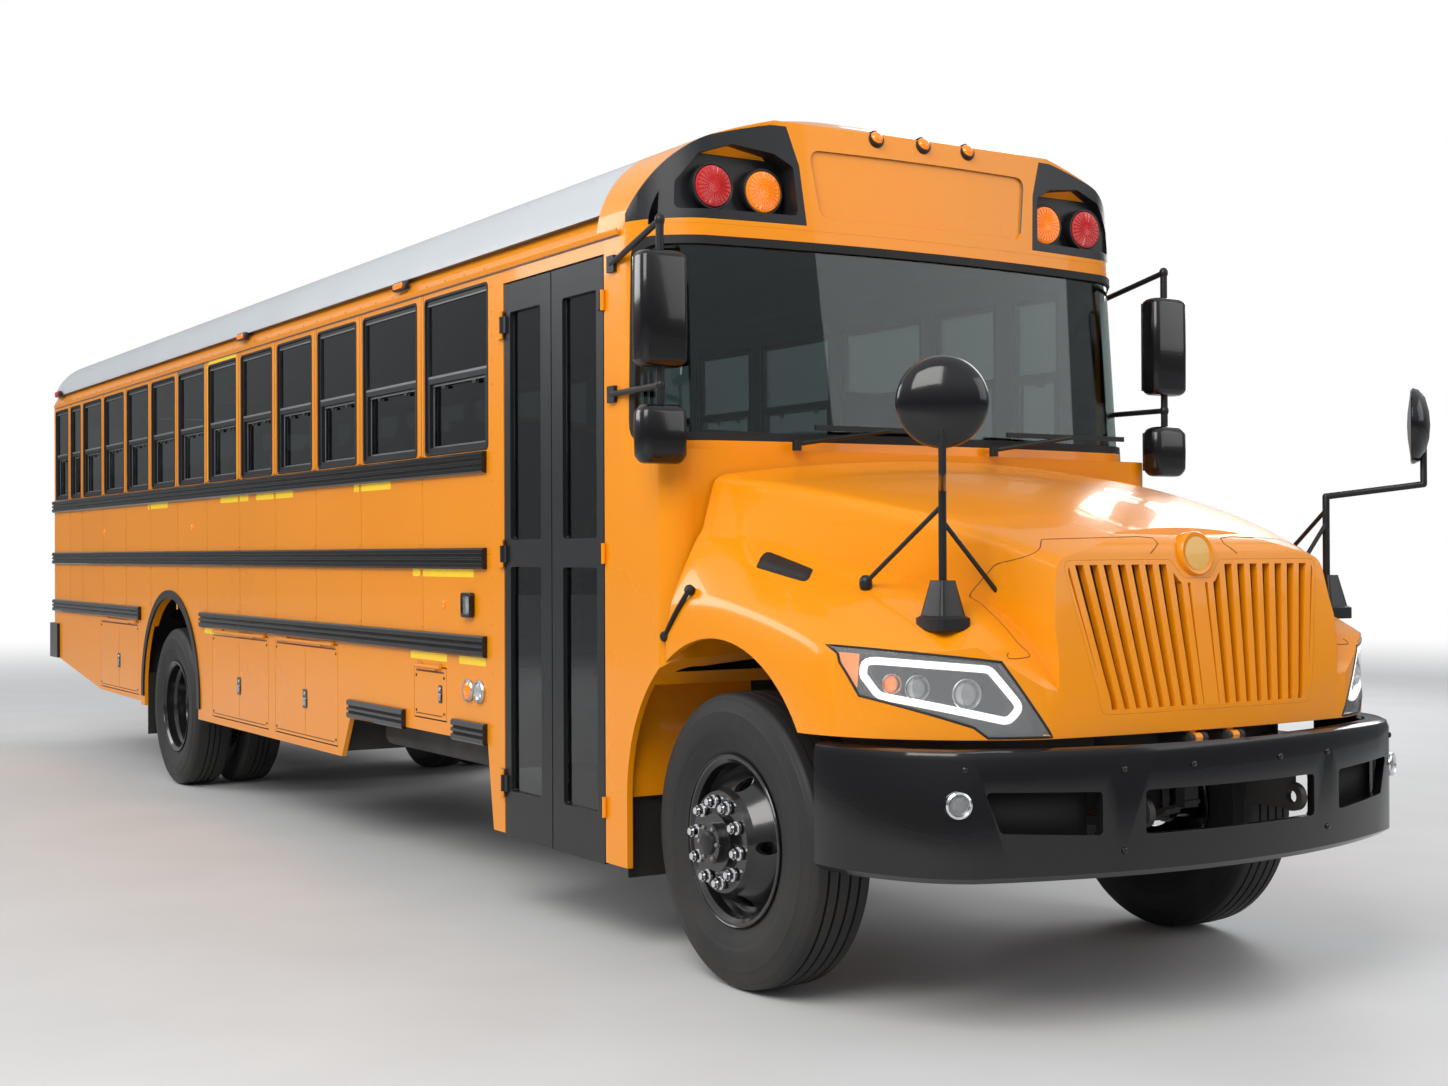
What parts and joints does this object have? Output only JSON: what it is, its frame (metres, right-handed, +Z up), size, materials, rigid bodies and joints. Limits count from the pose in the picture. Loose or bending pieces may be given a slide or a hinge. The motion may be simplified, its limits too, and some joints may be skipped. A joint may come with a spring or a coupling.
{
  "type": "school bus",
  "caption": "Yellow school bus with a tilting hood, folding entry door, emergency door, stop arm and steered wheels.",
  "frame": {"origin": "on the ground, in the middle of the bounding box", "axes": "+Y towards the rear along the bus, +X to its left side, +Z up"},
  "size_m": [3.22, 11.91, 3.3281],
  "materials": {
    "yellow_paint": "gloss",
    "white_paint": "gloss",
    "black_paint": "satin",
    "chassis_paint": "matte",
    "steel": "satin",
    "engine_iron": "matte",
    "tyre": "matte",
    "floor_rubber": "matte",
    "black_plastic": "matte",
    "grey_plastic": "matte",
    "seat_vinyl": "satin",
    "glass": "gloss",
    "red_lens": "gloss",
    "clear_lens": "gloss",
    "stop_red": "gloss"
  },
  "bodies": {
    "bus": {"chassis_frame": "chassis_paint", "cowl": "yellow_paint", "crossmembers": "chassis_paint", "dashboard": "grey_plastic", "engine": "engine_iron", "exhaust": "steel", "floor": "floor_rubber", "floor_wells": "chassis_paint", "front_axle": "chassis_paint", "front_bumper": "black_paint", "front_cap": "yellow_paint", "fuel_tank": "black_paint", "leaf_springs": "chassis_paint", "rear_axle": "chassis_paint", "rear_bumper": "black_paint", "rear_wall": "yellow_paint", "roof": "white_paint", "rub_rails": "black_paint", "seats": "seat_vinyl", "side_mirrors": "black_plastic", "side_wall_left": "yellow_paint", "side_wall_right": "yellow_paint", "step_well": "black_paint", "stop_arm_bracket": "black_paint", "warning_lamps": "red_lens", "window_frames": "black_plastic", "window_glass": "glass", "windshield": "glass", "wipers": "black_plastic"},
    "hood_body": {"hood": "yellow_paint", "grille": "yellow_paint", "headlamps": "clear_lens", "fender_mirrors": "black_plastic"},
    "knuckle_left_body": {"knuckle_left": "chassis_paint"},
    "knuckle_right_body": {"knuckle_right": "chassis_paint"},
    "tie_rod_body": {"tie_rod": "chassis_paint"},
    "entry_leaf_front_body": {"entry_leaf_front": "black_paint", "entry_glass_front": "glass"},
    "entry_leaf_rear_body": {"entry_leaf_rear": "black_paint", "entry_glass_rear": "glass"},
    "rear_door_body": {"rear_door": "yellow_paint", "rear_door_glass": "glass"},
    "stop_arm_body": {"stop_arm": "stop_red"},
    "fuel_door_body": {"fuel_door": "yellow_paint"},
    "luggage_door_front_body": {"luggage_door_front": "yellow_paint"},
    "luggage_door_middle_body": {"luggage_door_middle": "yellow_paint"},
    "luggage_door_rear_body": {"luggage_door_rear": "yellow_paint"},
    "roof_hatch_front_body": {"roof_hatch_front": "white_paint"},
    "roof_hatch_rear_body": {"roof_hatch_rear": "white_paint"},
    "front_wheel_left": {"tyre_front_left": "tyre", "wheel_front_left": "black_paint"},
    "rear_wheels_left": {"tyres_rear_left": "tyre", "wheels_rear_left": "black_paint"},
    "front_wheel_right": {"tyre_front_right": "tyre", "wheel_front_right": "black_paint"},
    "rear_wheels_right": {"tyres_rear_right": "tyre", "wheels_rear_right": "black_paint"}
  },
  "joints": [
    {"name": "steer_left", "type": "hinge", "parent": "bus", "child": "knuckle_left_body", "pos_m": [0.88, -4.655, 0.525], "axis": [0, 0, 1], "range_deg": [-40, 40]},
    {"name": "steer_right", "type": "hinge", "parent": "bus", "child": "knuckle_right_body", "pos_m": [-0.88, -4.655, 0.525], "axis": [0, 0, 1], "range_deg": [-40, 40]},
    {"name": "tie_rod_turn", "type": "hinge", "parent": "knuckle_left_body", "child": "tie_rod_body", "pos_m": [0.88, -4.465, 0.44], "axis": [0, 0, 1], "range_deg": [-40, 40]},
    {"name": "front_wheel_left_spin", "type": "hinge", "parent": "knuckle_left_body", "child": "front_wheel_left", "pos_m": [1.02, -4.655, 0.525], "axis": [1, 0, 0], "continuous": true},
    {"name": "front_wheel_right_spin", "type": "hinge", "parent": "knuckle_right_body", "child": "front_wheel_right", "pos_m": [-1.02, -4.655, 0.525], "axis": [1, 0, 0], "continuous": true},
    {"name": "rear_wheels_left_spin", "type": "hinge", "parent": "bus", "child": "rear_wheels_left", "pos_m": [1.048, 2.355, 0.525], "axis": [1, 0, 0], "continuous": true},
    {"name": "rear_wheels_right_spin", "type": "hinge", "parent": "bus", "child": "rear_wheels_right", "pos_m": [-1.048, 2.355, 0.525], "axis": [1, 0, 0], "continuous": true},
    {"name": "entry_front_open", "type": "hinge", "parent": "bus", "child": "entry_leaf_front_body", "pos_m": [-1.23, -3.861, 1.54], "axis": [0, 0, 1], "range_deg": [0, 90]},
    {"name": "entry_rear_open", "type": "hinge", "parent": "bus", "child": "entry_leaf_rear_body", "pos_m": [-1.23, -2.954, 1.54], "axis": [0, 0, -1], "range_deg": [0, 90]},
    {"name": "rear_door_open", "type": "hinge", "parent": "bus", "child": "rear_door_body", "pos_m": [-0.4515, 5.87, 1.9], "axis": [0, 0, 1], "range_deg": [0, 110]},
    {"name": "hood_tilt", "type": "hinge", "parent": "bus", "child": "hood_body", "pos_m": [0, -5.847, 0.925], "axis": [1, 0, 0], "range_deg": [0, 60]},
    {"name": "stop_arm_swing", "type": "hinge", "parent": "bus", "child": "stop_arm_body", "pos_m": [1.266, -2.325, 1.735], "axis": [0, 0, -1], "range_deg": [0, 90]},
    {"name": "fuel_door_open", "type": "hinge", "parent": "bus", "child": "fuel_door_body", "pos_m": [-1.23, -2.1365, 1.017], "axis": [0, 1, 0], "range_deg": [0, 85]},
    {"name": "luggage_door_front_open", "type": "hinge", "parent": "bus", "child": "luggage_door_front_body", "pos_m": [-1.23, -0.4, 1.067], "axis": [0, 1, 0], "range_deg": [0, 85]},
    {"name": "luggage_door_middle_open", "type": "hinge", "parent": "bus", "child": "luggage_door_middle_body", "pos_m": [-1.23, 0.78, 1.067], "axis": [0, 1, 0], "range_deg": [0, 85]},
    {"name": "luggage_door_rear_open", "type": "hinge", "parent": "bus", "child": "luggage_door_rear_body", "pos_m": [-1.23, 3.66, 1.067], "axis": [0, 1, 0], "range_deg": [0, 85]},
    {"name": "roof_hatch_front_open", "type": "hinge", "parent": "bus", "child": "roof_hatch_front_body", "pos_m": [0, -1.166, 3.294], "axis": [1, 0, 0], "range_deg": [0, 75]},
    {"name": "roof_hatch_rear_open", "type": "hinge", "parent": "bus", "child": "roof_hatch_rear_body", "pos_m": [0, 2.534, 3.294], "axis": [1, 0, 0], "range_deg": [0, 75]}
  ],
  "couplings": [
    {"joint": "steer_right", "follows": "steer_left", "ratio": 1},
    {"joint": "tie_rod_turn", "follows": "steer_left", "ratio": -1},
    {"joint": "entry_rear_open", "follows": "entry_front_open", "ratio": 1}
  ]
}
